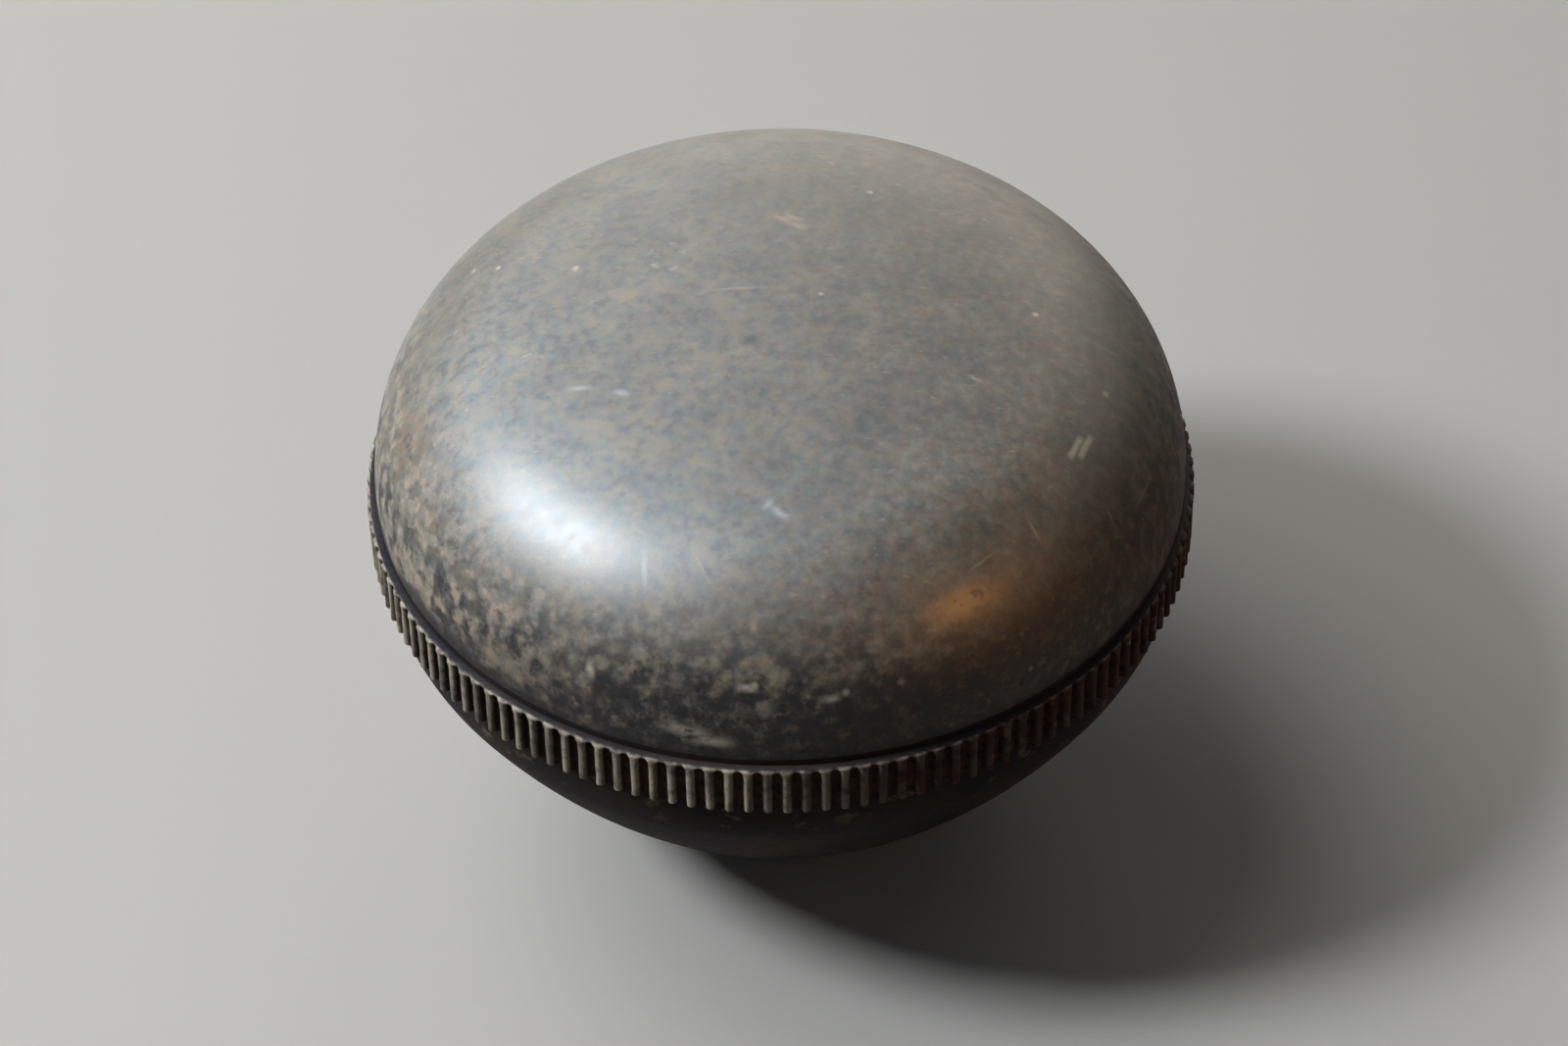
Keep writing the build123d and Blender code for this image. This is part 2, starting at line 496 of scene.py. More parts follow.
def cut_flute(piece, shape):
    """Sinks the middle of the pitch between its ridges, wears the lip back and widens the floor."""
    foot, flute_top, top = band_levels(shape)
    rim = BODY_HIGH.x
    column = math.tau / shape.flute_count / COLUMNS_PER_FLUTE
    floor_radius = rim - shape.flute_depth
    spread = shape.flute_floor / 2 / floor_radius - column / 2

    def select_column(number, low, high, inner, outer=math.inf):
        """Selects a column's corners between two heights and two radii."""

        def in_column(vert):
            beside = abs(turn_of(vert) - number * column)
            return beside < column / 4 and low < vert.co.z < high and inner < vert.co.xy.length < outer

        select_where(piece, "verts", in_column)

    in_flute = (foot - WELD, flute_top + WELD)
    for number, side in ((2, -1), (3, 1)):
        select_column(number, flute_top + WELD, top + WELD, rim - 2 * shape.lip_edge)
        change_radius(rim, rim - shape.lip_scallop)
        select_column(number, *in_flute, rim - WELD)
        change_radius(rim, floor_radius)
        select_column(number, *in_flute, floor_radius - WELD, floor_radius + WELD)
        bpy.ops.transform.rotate(value=-side * spread, orient_axis="Z", center_override=(0, 0, 0))


def repeat_round(count):
    """Copies the modelled pitch round the axis and welds the copies into one closed skin."""
    bpy.ops.mesh.select_all(action="SELECT")
    bpy.ops.mesh.spin(steps=count, dupli=True, angle=math.tau, center=(0, 0, 0), axis=(0, 0, 1))
    weld()


def round_ridges(piece, shape):
    """Rounds the outer edges of the ridges, as handling has."""
    foot, flute_top, top = band_levels(shape)
    reach = flute_top + (top - flute_top) / 5
    inner = BODY_HIGH.x - shape.flute_depth / 2

    def worn_edge(edge):
        in_band = all(foot - WELD < v.co.z < reach and v.co.xy.length > inner for v in edge.verts)
        upright = abs(edge.verts[0].co.z - edge.verts[1].co.z) > WORN_LENGTH
        sharp = edge.is_convex and edge.calc_face_angle(0.0) > math.radians(WORN_TURN)
        return in_band and upright and sharp

    select_where(piece, "edges", worn_edge)
    bpy.ops.mesh.bevel(offset=shape.ridge_wear, segments=WEAR_SEGMENTS, clamp_overlap=False)


def rub_band(piece, shape):
    """Wears the band a little unevenly, only ever inwards."""
    foot = band_levels(shape)[0] - WELD
    inner = BODY_HIGH.x - shape.band_step / 2
    worn = [v.index for v in piece.data.vertices if v.co.z > foot and v.co.xy.length > inner]
    piece.vertex_groups.new(name="Band").add(worn, 1.0, "REPLACE")
    wear = bpy.data.textures.new("Band wear", "CLOUDS")
    wear.noise_scale = RUB_SIZE
    wear.noise_depth = 2
    settings = {"texture": wear, "texture_coords": "LOCAL", "vertex_group": "Band"}
    apply_modifier(piece, "DISPLACE", strength=shape.rub, mid_level=1.0, **settings)
    bpy.data.textures.remove(wear)


def finish_body(piece, colours, shape):
    """Gives the dome its skin, and the band, the bowl and the socket their grime."""
    piece.data.materials.append(dome_material(colours, shape))
    piece.data.materials.append(band_material(colours, shape))
    wall_top = shape.bowl_height + shape.dome_wall / 2
    for face in piece.data.polygons:
        face.material_index = 0 if face.center.z > wall_top else 1


class KNOB_OT_mould_body(bpy.types.Operator):
    """Models the knob's body: dome, milled band, bowl and the socket for the insert"""

    bl_idname = "knob.mould_body"
    bl_label = "Mould Body"
    bl_options = {"REGISTER", "UNDO"}

    def execute(self, context):
        shape = context.scene.knob_shape
        piece = turn_one_pitch(shape, context.scene.knob_insert)
        weld()
        cut_flute(piece, shape)
        weld()
        repeat_round(shape.flute_count)
        round_ridges(piece, shape)
        weld()
        bpy.ops.object.mode_set(mode="OBJECT")
        rub_band(piece, shape)
        smooth_piece(piece, BODY_CREASE)
        finish_body(piece, context.scene.knob_colours, shape)
        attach(piece, "root")
        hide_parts("knob_body")
        return {"FINISHED"}


# ---- The threaded insert ----


def turn_blank(insert):
    """Models the hexagonal bar with its turned spigot, groove and drilled hole."""
    cuts = INSERT_CORNERS // HEXAGON_SIDES - 1
    turn = math.pi / HEXAGON_SIDES
    bar = insert.across_flats / math.sqrt(3)
    step = insert.spigot_length
    groove_foot = insert.groove_height - insert.groove_width / 2
    groove_top = insert.groove_height + insert.groove_width / 2
    end = INSERT_HIGH.z
    spigot = insert.spigot_radius

    def joins_at(edge, height):
        return all(abs(vert.co.z - height) < WELD for vert in edge.verts)

    piece = add_circle("brass_insert", INSERT_CORNERS, spigot, 0.0)
    carry_along([(spigot, 0.0), (spigot, insert.spigot_chamfer), (spigot, step)])
    add_ring(HEXAGON_SIDES, bar, step, cuts, turn)
    carry_ring((bar, step), (bar, groove_foot))
    add_ring(INSERT_CORNERS, insert.groove_radius, groove_foot)
    carry_ring((insert.groove_radius, groove_foot), (insert.groove_radius, groove_top))
    add_ring(HEXAGON_SIDES, bar, groove_top, cuts, turn)
    carry_along([(bar, groove_top), (bar, end - insert.end_chamfer), (bar - insert.end_chamfer, end)])
    bpy.ops.mesh.edge_face_add()
    for height in (step, groove_foot, groove_top):
        select_where(piece, "edges", lambda edge: edge.is_boundary and joins_at(edge, height))
        bpy.ops.mesh.bridge_edge_loops()

    # The spigot's end is drawn in to its chamfer, and carried on into the countersink and the hole
    tip = spigot - insert.spigot_chamfer
    countersink = insert.thread_radius - insert.bore_radius
    point_rise = insert.bore_radius / math.tan(insert.drill_point / 2)
    select_where(piece, "edges", lambda edge: joins_at(edge, 0.0))
    change_radius(spigot, tip)
    carry_along(
        [
            (tip, 0.0),
            (insert.thread_radius, 0.0),
            (insert.bore_radius, countersink),
            (insert.bore_radius, insert.bore_depth),
            (0.0, insert.bore_depth + point_rise),
        ]
    )
    weld()
    bpy.ops.object.mode_set(mode="OBJECT")
    return piece


def make_tap(insert):
    """Models the tap that cuts the thread: a closed screw as long as the thread, from below the base."""
    pitch = insert.thread_pitch
    root = insert.bore_radius - TAP_OVERLAP
    profile = [(root + depth * (insert.thread_radius - root), share * pitch) for depth, share in TOOTH]
    start = -2 * pitch
    deselect_all()
    bpy.ops.mesh.primitive_plane_add(size=pitch, location=(0, 0, 0))
    tap = bpy.context.active_object
    tap.name = "tap"
    bpy.ops.object.mode_set(mode="EDIT")
    bpy.ops.mesh.select_all(action="SELECT")
    bpy.ops.mesh.merge(type="CENTER")
    bpy.ops.transform.translate(value=(root, 0, start))
    for (radius, height), (next_radius, next_height) in zip(profile, profile[1:]):
        step = (next_radius - radius, 0, next_height - height)
        bpy.ops.mesh.extrude_vertices_move(TRANSFORM_OT_translate={"value": step})
    bpy.ops.object.mode_set(mode="OBJECT")
    turns = math.ceil((insert.thread_depth - start) / pitch) + 2
    settings = {"steps": TAP_STEPS, "render_steps": TAP_STEPS, "use_smooth_shade": False}
    apply_modifier(tap, "SCREW", axis="Z", screw_offset=pitch, iterations=turns, **settings)
    bpy.ops.object.mode_set(mode="EDIT")
    weld()
    for height, side in ((-TAP_LEAD, "clear_inner"), (insert.thread_depth, "clear_outer")):
        bpy.ops.mesh.select_all(action="SELECT")
        bpy.ops.mesh.bisect(plane_co=(0, 0, height), plane_no=(0, 0, 1), use_fill=True, **{side: True})
    weld()
    bpy.ops.object.mode_set(mode="OBJECT")
    return tap


class KNOB_OT_turn_insert(bpy.types.Operator):
    """Models the brass insert and taps its thread"""

    bl_idname = "knob.turn_insert"
    bl_label = "Turn Insert"
    bl_options = {"REGISTER", "UNDO"}

    def execute(self, context):
        insert = context.scene.knob_insert
        piece = turn_blank(insert)
        tap = make_tap(insert)
        apply_modifier(piece, "BOOLEAN", operation="DIFFERENCE", solver="EXACT", object=tap)
        bpy.data.objects.remove(tap)
        smooth_piece(piece, INSERT_CREASE)
        piece.data.materials.append(brass_material(context.scene.knob_colours))
        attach(piece, "root")
        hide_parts("threaded_insert")
        return {"FINISHED"}


# ---- Node tools: patterns are read in millimetres ----


class Reading:
    """A number, a place or a colour that nodes give; numbers can be added and multiplied as usual."""

    def __init__(self, tree, socket):
        self.tree = tree
        self.socket = socket

    def __add__(self, other):
        return calc("ADD", self, other)

    def __sub__(self, other):
        return calc("SUBTRACT", self, other)

    def __rsub__(self, other):
        return calc("SUBTRACT", other, self)

    def __mul__(self, other):
        return calc("MULTIPLY", self, other)


def add_node(tree, kind, inputs=(), **settings):
    """Adds a node, sets its settings, and links or sets its inputs."""
    node = tree.nodes.new(kind)
    for name, value in settings.items():
        setattr(node, name, value)
    for socket, value in dict(inputs).items():
        if isinstance(value, Reading):
            tree.links.new(value.socket, node.inputs[socket])
        else:
            node.inputs[socket].default_value = value
    return node


def read(tree, kind, output=0, inputs=(), **settings):
    """Adds a node and reads one of its outputs."""
    return Reading(tree, add_node(tree, kind, inputs, **settings).outputs[output])


def calc(operation, first, second=0.0):
    """One sum on two numbers, of which at least one is a reading."""
    tree = (first if isinstance(first, Reading) else second).tree
    return read(tree, "ShaderNodeMath", 0, {0: first, 1: second}, operation=operation)


def largest(result, *others):
    """The largest of several numbers."""
    for value in others:
        result = calc("MAXIMUM", result, value)
    return result


def between(amount, low, high):
    """The number that lies an amount, from 0 to 1, of the way from low to high."""
    return (high - low) * amount + low


def fade(value, low, high):
    """Rises smoothly from 0 at low to 1 at high; low may be the larger."""
    inputs = {"Value": value, "From Min": low, "From Max": high}
    return read(value.tree, "ShaderNodeMapRange", 0, inputs, interpolation_type="SMOOTHSTEP")


def vector_calc(operation, first, second=(0, 0, 0)):
    """One sum on two vectors, which gives a vector or a number."""
    gives_number = operation in ("LENGTH", "DISTANCE", "DOT_PRODUCT")
    output = "Value" if gives_number else "Vector"
    return read(first.tree, "ShaderNodeVectorMath", output, {0: first, 1: second}, operation=operation)


def scaled(vector, factor):
    """A place or a colour times a number."""
    inputs = {0: vector, "Scale": factor}
    return read(vector.tree, "ShaderNodeVectorMath", 0, inputs, operation="SCALE")


def cloud(place, size, detail=2.0, roughness=0.5, squeeze=(1, 1, 1), turn=(0, 0, 0)):
    """Noise whose blotches are about as large as size, from 0 to 1."""
    inputs = {"Vector": place, "Scale": squeeze, "Rotation": turn}
    stretched = read(place.tree, "ShaderNodeMapping", 0, inputs)
    inputs = {"Vector": stretched, "Scale": 1 / size, "Detail": detail, "Roughness": roughness}
    return read(place.tree, "ShaderNodeTexNoise", "Fac", inputs)


class Noises:
    """The noises of a table, by their names."""

    def __init__(self, place, table):
        for name, settings in table.items():
            setattr(self, name, cloud(place, *settings))


def hues(place, size, detail=2.0):
    """Noise in three colours at once."""
    inputs = {"Vector": place, "Scale": 1 / size, "Detail": detail, "Roughness": 0.5}
    return read(place.tree, "ShaderNodeTexNoise", "Color", inputs)


def tones(place, size, strength):
    """Soft blotches of changing hue round white, to multiply a colour by."""
    inputs = {0: hues(place, size), 1: (strength,) * 3, 2: (1 - strength / 2,) * 3}
    return read(place.tree, "ShaderNodeVectorMath", 0, inputs, operation="MULTIPLY_ADD")


def round_dots(place, spacing, size):
    """Soft round dots of many sizes and strengths, from 0 to 1."""
    cells = add_node(place.tree, "ShaderNodeTexVoronoi", {"Vector": place, "Scale": 1 / spacing})
    distance, chance = (Reading(place.tree, cells.outputs[name]) for name in ("Distance", "Color"))
    chance = read(place.tree, "ShaderNodeSeparateXYZ", "X", {0: chance})
    return fade(distance, size / spacing, size / spacing * 0.3) * fade(chance, 0.25, 0.9)


def tint(amount, under, over):
    """Lays one colour over another by an amount from 0 to 1."""
    inputs = {0: amount, 6: under, 7: over}
    return read(amount.tree, "ShaderNodeMix", 2, inputs, data_type="RGBA", clamp_factor=True)


def streak(place, middle, run, width, firm=False):
    """1 along a straight mark, and 0 round it; a firm one has plain edges."""
    half = Vector(run) / 2
    along = half.normalized()
    plain_width, plain_run = (0.15, 0.6) if firm else (0.0, 0.0)
    offset = vector_calc("SUBTRACT", place, Vector(middle))
    far = calc("ABSOLUTE", vector_calc("DOT_PRODUCT", offset, along))
    beside = vector_calc("LENGTH", vector_calc("CROSS_PRODUCT", offset, along))
    thin = fade(beside, width * 0.75, width * plain_width)
    return thin * fade(far, half.length * 1.15, half.length * plain_run)


def spot(place, middle, size):
    """1 in a soft round spot, and 0 round it."""
    return fade(vector_calc("DISTANCE", place, Vector(middle)), size * 0.6, size * 0.05)


def drawn(draw, place, table, **settings):
    """All the marks of a table, each drawn as a streak or a spot."""
    return largest(*[draw(place, *mark, **settings) for mark in table])


def piece_places(tree):
    """The place on the piece in millimetres, its x, y and z, and its distance from the axis."""
    place = scaled(read(tree, "ShaderNodeTexCoord", "Object"), 1 / MM)
    parts = add_node(tree, "ShaderNodeSeparateXYZ", {0: place}).outputs
    radius = vector_calc("LENGTH", vector_calc("MULTIPLY", place, (1, 1, 0)))
    return place, [Reading(tree, part) for part in parts], radius


def seen_ray(tree):
    """1 for rays that show the stage: straight to the camera, in a reflection or through glass."""
    kinds = ("Is Camera Ray", "Is Glossy Ray", "Is Transmission Ray")
    return largest(*[read(tree, "ShaderNodeLightPath", kind) for kind in kinds])


def new_material(name):
    """An empty node material with its output and shader joined."""
    material = bpy.data.materials.new(name)
    material.use_nodes = True
    tree = material.node_tree
    tree.nodes.clear()
    output = tree.nodes.new("ShaderNodeOutputMaterial")
    shader = tree.nodes.new("ShaderNodeBsdfPrincipled")
    tree.links.new(shader.outputs[0], output.inputs["Surface"])
    return material, tree, shader


def dress(shader, base, roughness, relief, strength, depth):
    """Gives a shader its colour, its roughness and a fine bump."""
    inputs = {"Strength": strength, "Distance": depth, "Height": relief}
    bump = read(base.tree, "ShaderNodeBump", 0, inputs)
    for name, reading in (("Base Color", base), ("Roughness", roughness), ("Normal", bump)):
        base.tree.links.new(reading.socket, shader.inputs[name])


# ---- Materials ----


def worn_plastic(place, colours):
    """The bare dark moulding, a little browner here and there."""
    return tint(fade(cloud(place, 7), 0.35, 0.7), colours.plastic, colours.plastic_warm)


def shaken_places(place):
    """Places pushed about a little, for marks with uneven edges, and further, for ragged ones."""
    push = scaled(vector_calc("SUBTRACT", hues(place, 1.0, 1.0), (0.5, 0.5, 0.5)), EDGE_SHAKE)
    shaken = vector_calc("ADD", place, push)
    return shaken, vector_calc("ADD", place, scaled(push, RAGGED_SHARE))


def dome_skin(place, x, y, noise, colours):
    """The dull skin: slate and brown, turning to darker browns at the right, in soft blotches; the darker
    right is partly painted shade.
    """
    lively = 1.0 - fade(y, -8, 14) * 0.5
    hue = between(lively, 0.5, fade(noise.mottle + noise.wide * 0.35, 0.31, 0.69))
    left = tint(hue, colours.bloom_slate, colours.bloom_brown)
    right = tint(hue, colours.shaded_olive, colours.umber_and_shade)
    # Towards the right the skin darkens: partly its own tone, partly painted shade
    skin = tint(fade(x, -12, 13), left, right)
    skin = tint(fade(noise.light, 0.54, 0.26) * lively * 0.42, skin, colours.plastic_warm)
    skin = tint(fade(noise.light, 0.46, 0.76) * lively * 0.36, skin, colours.bloom_tan)
    flecked = fade(noise.fleck, 0.64, 0.78) * (fade(x, -6, -20) * 0.30 + 0.28)
    skin = tint(flecked, skin, colours.dust)
    skin = tint(fade(x, 12, 24) * 0.32, skin, colours.bloom_tan)
    skin = vector_calc("MULTIPLY", skin, tones(place, 1.0, 0.22))
    return scaled(skin, noise.billow * 0.7 + 0.65)


def skin_cover_and_shade(x, above, noise):
    """How far the pale skin covers: all of the crown, less low on the shoulder and at the right; partly
    real bloom and dust, partly painted light, a lighter crown for its sheen and darker low and right parts
    for their shade.
    """
    reach = fade(above, 3.0, 10.0) * 0.80 + fade(x, 14, -22) * 0.36
    cover = fade(reach + noise.patch + noise.film * 0.80, 1.06, 1.54)
    return largest(cover, fade(noise.film, 0.40, 0.66) * 0.60)


def low_blotches_and_shade(x, low, noise):
    """Strong darker and lighter blotches low on the shoulder, darker on the whole as painted shade, to
    multiply its colour by.
    """
    strong = low * (1.0 - fade(x, -8, -20) * 0.65)
    blotch = fade(noise.clump * 0.6 + noise.film * 0.4, 0.37, 0.66) * 1.30 + 0.06
    return between(strong, 1.0, blotch)


def settled_dust(ragged, x, low, noise):
    """Tan dust low on the shoulder: soft clumps at the left, small dots elsewhere."""
    thick = fade(x + noise.wide * 14, -11, -22)
    clumps = fade(noise.clump, 0.43, 0.61) * thick * 0.8
    dots = round_dots(ragged, 1.5, 0.40) * fade(noise.film, 0.36, 0.60) * 0.65
    return largest(clumps, dots) * low


def dome_marks(place, shaken, ragged, noise, colours):
    """The marks that use has left, and a warm patch that is partly a painted reflection, as (mask, colour),
    in the order they lie.
    """
    rubbed = fade(noise.clump, 0.48, 0.62) * fade(noise.film, 0.48, 0.64)
    scratches = drawn(streak, shaken, SCRATCHES, firm=True)
    cream = largest(scratches, drawn(spot, shaken, CREAM_SPOTS)) * fade(noise.fleck, 0.16, 0.36)
    faint = drawn(streak, shaken, FAINT_SCRATCHES) * fade(noise.film, 0.22, 0.44)
    tan_spots = drawn(spot, ragged, TAN_SPOTS) * fade(noise.film, 0.34, 0.58)
    smears = drawn(streak, ragged, SMEARS) * fade(noise.film, 0.26, 0.48)
    return (
        (spot(place, *RUSTY_PATCH) * fade(noise.shade, 0.35, 0.65) * 0.75, colours.rust),
        # The warm patch: partly a stain, partly a painted reflection of a warm lamp
        (streak(shaken, *WARM_STAIN_AND_REFLECTION) * fade(noise.light, 0.26, 0.54) * 0.80, colours.amber_stain_and_reflection),
        (spot(place, *SCUFFED_PATCH) * rubbed * 0.60, colours.scratch),
        (faint * 0.60, colours.dust),
        (tan_spots * 0.60, colours.dust),
        (smears * 0.95, colours.ridge),
        (drawn(streak, shaken, SCUFFS) * 0.42, colours.chalk),
        (cream * 0.75, colours.scratch),
        (spot(shaken, *DARK_PIT) * 0.70, colours.plastic),
    )


def dome_material(colours, shape):
    """Old dark moulding under a dull mottled skin, which breaks into dusty patches near the band; the
    lighter crown and the darker low and right parts are partly painted light.
    """
    material, tree, shader = new_material("Worn dome")
    place, (x, y, z), _ = piece_places(tree)
    above = z - shape.bowl_height / MM
    shaken, ragged = shaken_places(place)
    noise = Noises(place, DOME_CLOUDS)
    noise.wide = noise.patch - 0.5
    noise.light = noise.shade + noise.wide * 0.35

    # The skin lies over the bare moulding, which shows above the band and low on the shoulder; the dark
    # bare strip just above the band is partly painted shade
    clean = fade(above + noise.wide * 3, 0.6, 2.2)
    bare = tint(fade(noise.mottle, 0.50, 0.74) * 0.35, worn_plastic(place, colours), colours.umber_and_shade)
    skin = dome_skin(place, x, y, noise, colours)
    colour_now = tint(skin_cover_and_shade(x, above, noise) * clean, bare, skin)

    # Lower down it is worn into darker and lighter blotches, darker on the whole as painted shade, and dust
    # has settled
    low = fade(above, 11.5, 5.5)
    colour_now = scaled(colour_now, low_blotches_and_shade(x, low, noise))
    low = low * clean
    settled = settled_dust(ragged, x, low, noise)
    tan = tint(fade(noise.mottle, 0.40, 0.65), colours.bloom_tan, colours.dust)
    colour_now = tint(settled, colour_now, tan)

    # Reddish flecks in the dark at the right
    flecks = fade(noise.fleck, 0.56, 0.70) * fade(noise.film, 0.40, 0.60) * fade(x, 4, 12)
    colour_now = tint(flecks * low * 0.75, colour_now, colours.rust)

    for mask, mark_colour in dome_marks(place, shaken, ragged, noise, colours):
        colour_now = tint(mask, colour_now, mark_colour)

    # Duller on the crown, at the right, in patches and where dust lies
    dull = largest(fade(x, 14, 26) * 0.30, fade(above, 11.3, 14.3) * 0.27)
    roughness = dull + noise.shade * 0.16 + settled * 0.20 + 0.42
    dress(shader, colour_now, roughness, noise.grain * 0.5 + noise.shade, strength=0.45, depth=0.025 * MM)
    shader.inputs["Specular IOR Level"].default_value = 0.22
    return material


def band_material(colours, shape):
    """The milled band and the bowl: dry rubbed ridges, grime between them and a dark bowl below."""
    material, tree, shader = new_material("Rubbed band and grimy bowl")
    place, (x, _, z), radius = piece_places(tree)
    above = z - shape.bowl_height / MM
    foot = -shape.band_height / MM
    inward = BODY_HIGH.x / MM - radius
    noise = Noises(place, BAND_CLOUDS)
    colour_now = worn_plastic(place, colours)

    # Brown grime between the ridges
    flutes = fade(above, foot, foot + 0.3) * fade(above, -0.1, -0.5)
    flutes = flutes * fade(noise.mottle, 0.30, 0.62) * fade(x, -20, -6)
    colour_now = tint(flutes * 0.60, colour_now, colours.ridge_red)

    # Ridges: rubbed to a dry beige, redder towards the right, and no two alike
    redder = fade(x + noise.broad * 16, 6, 20)
    ridge = tint(redder, colours.ridge, colours.ridge_red)
    ridge = tint(fade(noise.mottle, 0.52, 0.34) * 0.5, ridge, colours.plastic_warm)
    ridge = tint(fade(noise.each, 0.56, 0.36) * 0.55, ridge, colours.plastic_warm)
    ridge = tint(fade(noise.patch, 0.56, 0.72) * 0.6, ridge, colours.dust)
    proud = fade(inward, 0.34, 0.08) * fade(above, -0.03, -0.12)
    colour_now = tint(proud * 0.9, colour_now, ridge)

    # Pale along the lip's upper edge, thicker over the ridges: partly dust, partly a painted highlight
    # where the edge catches the light
    lip = fade(above, -0.17, -0.04) * fade(inward, 0.30, 0.12) * fade(noise.mottle, 0.36, 0.6)
    colour_now = tint(lip * 0.75, colour_now, tint(redder, colours.ridge, colours.dust))

    # A little dust caught under the ridges
    under = fade(above, foot - 4, foot - 0.5) * fade(above, foot + 0.2, foot - 0.1)
    colour_now = tint(under * fade(noise.patch, 0.56, 0.70) * 0.45, colour_now, colours.dust)

    dress(shader, colour_now, noise.grain * 0.25 + 0.50, noise.grain, strength=0.5, depth=0.04 * MM)
    shader.inputs["Specular IOR Level"].default_value = 0.05
    return material


def brass_material(colours):
    """Dull turned brass, tarnished in patches, with fine tool rings."""
    material, tree, shader = new_material("Dull brass")
    place, _, radius = piece_places(tree)
    stain = cloud(place, 3, 4.0, 0.6)
    colour_now = tint(fade(stain, 0.35, 0.7), colours.brass, colours.tarnish)
    colour_now = tint(fade(cloud(place, 0.5), 0.62, 0.75), colour_now, colours.tarnish)
    rings = calc("SINE", radius * (math.tau / TOOL_RING))
    dress(shader, colour_now, stain * 0.3 + 0.25, rings, strength=0.25, depth=0.006 * MM)
    shader.inputs["Metallic"].default_value = 1.0
    return material


def floor_material(stage):
    """Matte pale floor that bounces little light, and that is clear from below and to the lamps."""
    material, tree, shader = new_material("Pale floor")
    shade = tint(seen_ray(tree), stage.floor_bounce, stage.floor_colour)
    tree.links.new(shade.socket, shader.inputs["Base Color"])
    shader.inputs["Roughness"].default_value = 0.9
    shader.inputs["Specular IOR Level"].default_value = 0.0
    below = read(tree, "ShaderNodeNewGeometry", "Backfacing")
    lamplight = read(tree, "ShaderNodeLightPath", "Is Shadow Ray")
    clear = read(tree, "ShaderNodeBsdfTransparent")
    shares = {0: largest(below, lamplight), 1: Reading(tree, shader.outputs[0]), 2: clear}
    choose = add_node(tree, "ShaderNodeMixShader", shares)
    output = next(node for node in tree.nodes if node.type == "OUTPUT_MATERIAL")
    tree.links.new(choose.outputs[0], output.inputs["Surface"])
    return material


# ---- The stage ----


def lay_floor(stage):
    """A round floor whose far edge turns up, so that it has no horizon."""
    quarter = stage.floor_radius / 4
    flat = stage.floor_radius - quarter
    piece = add_circle("floor", FLOOR_CORNERS, quarter, 0.0, fill="NGON")
    select_where(piece, "edges", lambda edge: edge.is_boundary)
    cove = arc_points((flat, quarter), quarter, -90, -10, COVE_STEPS)
    carry_along([(quarter, 0.0), (flat, 0.0)] + cove)
    weld()
    shape = bmesh.from_edit_mesh(piece.data)
    if sum(face.normal.z * face.calc_area() for face in shape.faces) < 0:
        bpy.ops.mesh.select_all(action="SELECT")
        bpy.ops.mesh.flip_normals()
    bpy.ops.object.mode_set(mode="OBJECT")
    smooth_piece(piece, FLOOR_CREASE)
    piece.data.materials.append(floor_material(stage))


def hang_lamp(name, towards, distance, size, power, lamp_colour):
    """Hangs a round area lamp in a direction from the knob's middle, facing it, and returns it."""
    lamp = bpy.data.lights.new(name, "AREA")
    lamp.shape = "DISK"
    lamp.size = size
    lamp.energy = power
    lamp.color = lamp_colour
    holder = bpy.data.objects.new(name, lamp)
    bpy.context.scene.collection.objects.link(holder)
    away = Vector(towards).normalized()
    holder.location = Vector((0, 0, BODY_HIGH.z / 2)) + away * distance
    holder.rotation_mode = "QUATERNION"
    holder.rotation_quaternion = away.to_track_quat("Z", "Y")
    return holder


def light_stage():
    """Soft lamps over the back and a small one at the left, and sheens that show only as reflections."""
    for lamp in SOFT_LAMPS:
        hang_lamp(*lamp)
    for lamp in SHEENS:
        hang_lamp(*lamp).visible_diffuse = False
    # A narrow beam through the floor, so that the base and its thread can be seen from below
    hang_lamp(*BASE_BEAM).data.spread = math.radians(BEAM_SPREAD)


def set_sky(stage):
    """Dim even light all round, with a pale backdrop for the camera and for reflections."""
    world = bpy.data.worlds.new("Pale room")
    bpy.context.scene.world = world
    world.use_nodes = True
    tree = world.node_tree
    tree.nodes.clear()
    output = tree.nodes.new("ShaderNodeOutputWorld")
    room = {"Color": ROOM_COLOUR, "Strength": stage.sky_strength}
    backdrop = {"Color": BACKDROP_COLOUR, "Strength": 1.0}
    shares = {0: seen_ray(tree)}
    for socket, inputs in ((1, room), (2, backdrop)):
        shares[socket] = read(tree, "ShaderNodeBackground", 0, inputs)
    choose = add_node(tree, "ShaderNodeMixShader", shares)
    tree.links.new(choose.outputs[0], output.inputs["Surface"])


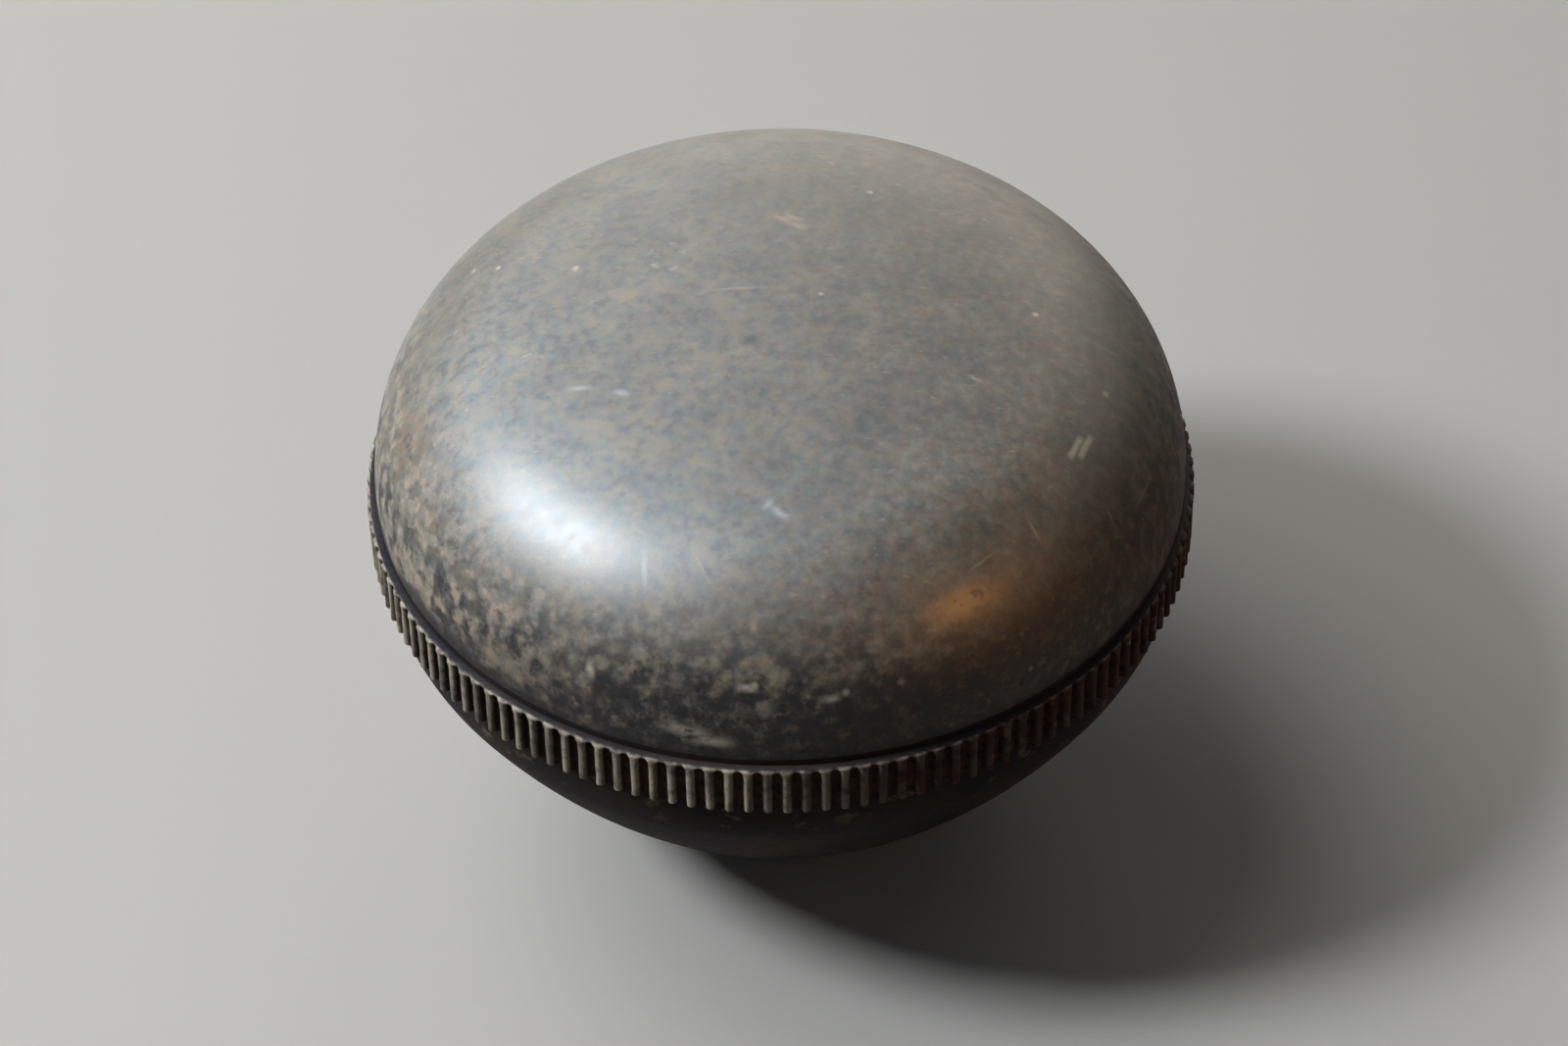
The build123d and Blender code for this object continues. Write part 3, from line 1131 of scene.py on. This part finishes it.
def place_camera(stage, shape):
    """Puts the camera in front of the knob, looking down on its dome."""
    camera = bpy.data.objects.new("Camera", bpy.data.cameras.new("Camera"))
    bpy.context.scene.collection.objects.link(camera)
    bpy.context.scene.camera = camera
    camera.data.sensor_width = SENSOR_WIDTH
    camera.data.lens = stage.lens
    camera.data.clip_start, camera.data.clip_end = CAMERA_REACH
    target = Vector((0, 0, shape.bowl_height))
    rise = stage.camera_elevation
    back = Vector((0, -math.cos(rise), math.sin(rise)))
    aim = back.to_track_quat("Z", "Y").to_matrix()
    aim = aim @ Matrix.Rotation(stage.camera_roll, 3, "Z")
    aim = aim @ Matrix.Rotation(-stage.camera_pan, 3, "Y") @ Matrix.Rotation(-stage.camera_tilt, 3, "X")
    camera.location = target + back * stage.camera_distance
    camera.rotation_mode = "QUATERNION"
    camera.rotation_quaternion = aim.to_quaternion()


class KNOB_OT_set_stage(bpy.types.Operator):
    """Lays the floor and sets the lamps, the sky and the camera"""

    bl_idname = "knob.set_stage"
    bl_label = "Set Stage"
    bl_options = {"REGISTER", "UNDO"}

    def execute(self, context):
        stage = context.scene.knob_stage
        lay_floor(stage)
        light_stage()
        set_sky(stage)
        place_camera(stage, context.scene.knob_shape)
        context.scene.view_settings.view_transform = "Standard"
        return {"FINISHED"}


class KNOB_PT_panel(bpy.types.Panel):
    """The knob's sizes and steps in the sidebar"""

    bl_idname = "KNOB_PT_panel"
    bl_label = "Gear Shift Knob"
    bl_space_type = "VIEW_3D"
    bl_region_type = "UI"
    bl_category = "Knob"

    def draw(self, context):
        for title, group, operator in (
            ("Body", "knob_shape", KNOB_OT_mould_body),
            ("Insert", "knob_insert", KNOB_OT_turn_insert),
            ("Stage", "knob_stage", KNOB_OT_set_stage),
            ("Colours", "knob_colours", None),
        ):
            box = self.layout.box()
            box.label(text=title)
            settings = getattr(context.scene, group)
            for name in settings.__annotations__:
                box.prop(settings, name)
            if operator:
                box.operator(operator.bl_idname)


GROUPS = {
    "knob_shape": KnobShape,
    "knob_insert": InsertShape,
    "knob_colours": KnobColours,
    "knob_stage": StageSettings,
}
OPERATORS = (KNOB_OT_mould_body, KNOB_OT_turn_insert, KNOB_OT_set_stage)
CLASSES = (*GROUPS.values(), *OPERATORS, KNOB_PT_panel)


def register():
    """Registers the classes and hangs their settings on the scene."""
    for cls in CLASSES:
        bpy.utils.register_class(cls)
    for name, group in GROUPS.items():
        setattr(bpy.types.Scene, name, PointerProperty(type=group))


def unregister():
    """Takes the settings and classes away again."""
    for name in GROUPS:
        delattr(bpy.types.Scene, name)
    for cls in reversed(CLASSES):
        bpy.utils.unregister_class(cls)


def main():
    """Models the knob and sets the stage."""
    register()
    bpy.ops.knob.mould_body()
    bpy.ops.knob.turn_insert()
    bpy.ops.knob.set_stage()


if __name__ == "__main__":
    main()
